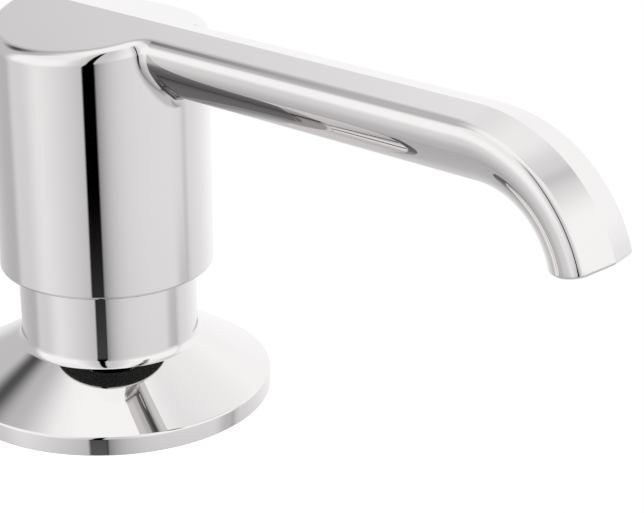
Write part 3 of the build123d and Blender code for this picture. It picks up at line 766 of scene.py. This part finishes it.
def room_light(tree, side, height, again):
    """How bright the studio is in a direction, seen in one mirror (again 0) or in two (again 1)."""
    # Walls right and left of the camera brighten away from the gap, with a grey panel on the left
    dark = calc(tree, "DIVIDE", calc(tree, "SUBTRACT", RIGHT_START, side), RIGHT_RISE)
    right = times(tree, less(tree, calc(tree, "EXPONENT", dark)), ramp(tree, side, *RIGHT_TONE))
    right = calc(tree, "ADD", right, ramp(tree, side, *RIGHT_BEHIND))
    past = calc(tree, "DIVIDE", calc(tree, "SUBTRACT", LEFT_START, side), LEFT_RISE)
    past = calc(tree, "MINIMUM", calc(tree, "MAXIMUM", past, 0), 1)
    left = times(tree, calc(tree, "POWER", past, LEFT_POWER), LEFT_GAIN)
    left = times(tree, calc(tree, "ADD", left, LEFT_TONE), ramp(tree, side, *LEFT_DIM))
    panel = times(tree, ramp(tree, side, *PANEL_NEAR), ramp(tree, side, *PANEL_FAR))
    left = times(tree, left, less(tree, times(tree, panel, ramp(tree, height, *PANEL_DEPTH))))
    left = calc(tree, "ADD", left, ramp(tree, side, *LEFT_BEHIND))
    walls = between(tree, calc(tree, "GREATER_THAN", side, WALLS_MEET), left, right)

    # They dim downwards, and what is mirrored again shows the shaded ground in front and below
    walls = times(tree, walls, ramp(tree, height, *WALLS_LOW))
    ground = times(tree, ramp(tree, height, *GROUND_FRONT), ramp(tree, off(tree, side, 0), *GROUND_SPAN))
    ground = calc(tree, "MAXIMUM", ground, ramp(tree, height, *GROUND_BELOW))
    walls = times(tree, walls, less(tree, times(tree, ground, again)))

    # White ceiling, with the grey panel reaching up on the left and behind
    edge = times(tree, ramp(tree, side, *EDGE_BACK_HIGH), ramp(tree, height, *EDGE_RISE))
    edge = calc(tree, "MAXIMUM", edge, ramp(tree, side, *EDGE_BACK))
    edge = times(tree, edge, ramp(tree, side, *EDGE_NEAR))
    behind = times(tree, ramp(tree, side, *EDGE_RIGHT), ramp(tree, height, *EDGE_RISE))
    edge = times(tree, calc(tree, "ADD", edge, behind), ramp(tree, height, *EDGE_HIGH))
    upper = calc(tree, "SUBTRACT", CEILING_TONE, edge)

    # A dark patch and soft shades on it
    patch = ramp(tree, off(tree, side, PATCH_SIDE), *PATCH_WIDTH)
    patch = times(tree, patch, ramp(tree, height, *PATCH_LOW), ramp(tree, height, *PATCH_HIGH))
    upper = times(tree, upper, less(tree, patch))
    shade = times(tree, ramp(tree, off(tree, side, SHADE_SIDE), *SHADE_WIDTH), ramp(tree, height, *SHADE_LOW))
    overhead = ramp(tree, off(tree, side, OVERHEAD_SIDE), *OVERHEAD_WIDTH)
    shade = times(tree, calc(tree, "MAXIMUM", shade, overhead), ramp(tree, height, *SHADE_HIGH))
    upper = times(tree, upper, less(tree, shade))
    room = between(tree, ramp(tree, height, *HORIZON), walls, upper)

    # Thin dark upright on the right, with its stand, and the black gap where the camera stands
    upright = ramp(tree, off(tree, side, UPRIGHT_SIDE), *UPRIGHT_WIDTH)
    upright = times(tree, upright, ramp(tree, height, *UPRIGHT_TONE))
    stand = times(tree, ramp(tree, off(tree, side, STAND_SIDE), *STAND_WIDTH), ramp(tree, height, *STAND_HIGH))
    upright = times(tree, calc(tree, "MAXIMUM", upright, stand), ramp(tree, height, *UPRIGHT_HIGH))
    room = times(tree, room, less(tree, upright))
    beyond = calc(tree, "SUBTRACT", off(tree, side, GAP_SIDE), ramp(tree, height, *GAP_HALF))
    gap = times(tree, ramp(tree, beyond, *GAP_EDGE), ramp(tree, height, *GAP_HIGH),
                ramp(tree, height, *GAP_LOW), ramp(tree, height, *GAP_FOOT))
    return times(tree, room, less(tree, gap))


def studio_world():
    """White to the camera, an even light on matt surfaces, and to gloss the studio."""
    world = bpy.data.worlds.new("studio")
    scene.world = world
    world.use_nodes = True
    tree = world.node_tree
    tree.nodes.clear()
    ray = add(tree, "ShaderNodeTexCoord").outputs["Generated"]
    rise = add(tree, "ShaderNodeSeparateXYZ", {"Vector": ray}).outputs["Z"]
    side = calc(tree, "ARCTAN2", along(tree, ray, PICTURE_RIGHT), along(tree, ray, TOWARDS_CAMERA))
    side = times(tree, side, DEGREES)
    height = times(tree, calc(tree, "ARCSINE", rise), DEGREES)
    path = add(tree, "ShaderNodeLightPath")
    again = calc(tree, "SUBTRACT", path.outputs["Glossy Depth"], 1)
    room = room_light(tree, side, height, calc(tree, "MINIMUM", again, 1))
    room = times(tree, room, calc(tree, "POWER", ramp(tree, height, *AGAIN_TONE), again))
    lit = between(tree, path.outputs["Is Glossy Ray"], EVEN_LIGHT, room)
    seen = calc(tree, "MAXIMUM", path.outputs["Is Camera Ray"], path.outputs["Is Transmission Ray"])
    light = add(tree, "ShaderNodeBackground", {"Color": (1, 1, 1, 1), "Strength": between(tree, seen, lit, 1)})
    out = tree.nodes.new("ShaderNodeOutputWorld")
    tree.links.new(light.outputs["Background"], out.inputs["Surface"])


def floor():
    """A plain floor that keeps the shadow, and fades out close round the flange so that the pieces below it
    show from other sides."""
    bm = bmesh.new()
    bmesh.ops.create_circle(bm, cap_ends=True, cap_tris=False, radius=FLOOR_RADIUS, segments=64,
                            matrix=Matrix.Translation((0, 0, FLOOR_LEVEL)))
    mesh = bpy.data.meshes.new("floor")
    bm.to_mesh(mesh)
    bm.free()
    obj = put("floor", mesh)
    material = bpy.data.materials.new("pale_floor")
    material.use_nodes = True
    tree = material.node_tree
    tree.nodes.clear()
    tone = place(tree, mottle,
                 {"Tint A": (0.80, 0.80, 0.80, 1), "Tint B": (0.84, 0.84, 0.84, 1), "Scale": 25.0})
    matt = add(tree, "ShaderNodeBsdfDiffuse", {"Color": tone.outputs["Color"]})
    glow = add(tree, "ShaderNodeEmission", {"Color": (1, 1, 1, 1), "Strength": FLOOR_GLOW})
    both = add(tree, "ShaderNodeAddShader", {0: matt.outputs["BSDF"], 1: glow.outputs["Emission"]})
    path = add(tree, "ShaderNodeLightPath")
    lit = add(tree, "ShaderNodeMixShader",
              {0: path.outputs["Is Camera Ray"], 1: matt.outputs["BSDF"], 2: both.outputs["Shader"]})
    spot = object_spot(tree)
    ahead = along(tree, spot, TOWARDS_CAMERA)
    across = off(tree, along(tree, spot, PICTURE_RIGHT), 0)
    fade = calc(tree, "MAXIMUM", ramp(tree, ahead, *FLOOR_FRONT), ramp(tree, ahead, *FLOOR_BACK))
    fade = calc(tree, "MAXIMUM", fade, ramp(tree, across, *FLOOR_SIDE))
    clear = tree.nodes.new("ShaderNodeBsdfTransparent")
    faded = add(tree, "ShaderNodeMixShader", {0: fade, 1: lit.outputs["Shader"], 2: clear.outputs["BSDF"]})
    out = tree.nodes.new("ShaderNodeOutputMaterial")
    tree.links.new(faded.outputs["Shader"], out.inputs["Surface"])
    mesh.materials.append(material)
    obj.visible_glossy = False


def lamp(name, at, size, watts):
    """A soft square lamp that faces the flange, and that mirrors don't show."""
    light = bpy.data.lights.new(name, "AREA")
    light.shape = "SQUARE"
    light.size = size
    light.energy = watts
    obj = put(name, light)
    obj.location = at
    obj.rotation_euler = (LAMPS_FACE - Vector(at)).to_track_quat("-Z", "Y").to_euler()
    obj.visible_glossy = False


def photo_camera():
    """The photograph's view: from the front right and above, through a long lens."""
    camera = bpy.data.cameras.new("camera")
    camera.lens = 115.0
    camera.sensor_width = 36.0
    camera.clip_start = 0.01
    obj = put("camera", camera)
    obj.location = (0.23463, -0.21703, 0.1531)
    obj.rotation_euler = Vector((-0.6048, 0.7007, -0.3785)).to_track_quat("-Z", "Y").to_euler()
    scene.camera = obj


studio_world()
floor()
lamp("key", (-0.35, -0.45, 0.75), 0.7, 9.0)
lamp("fill", (0.7, -0.1, 0.5), 0.6, 4.0)
photo_camera()
scene.view_settings.view_transform = "Standard"
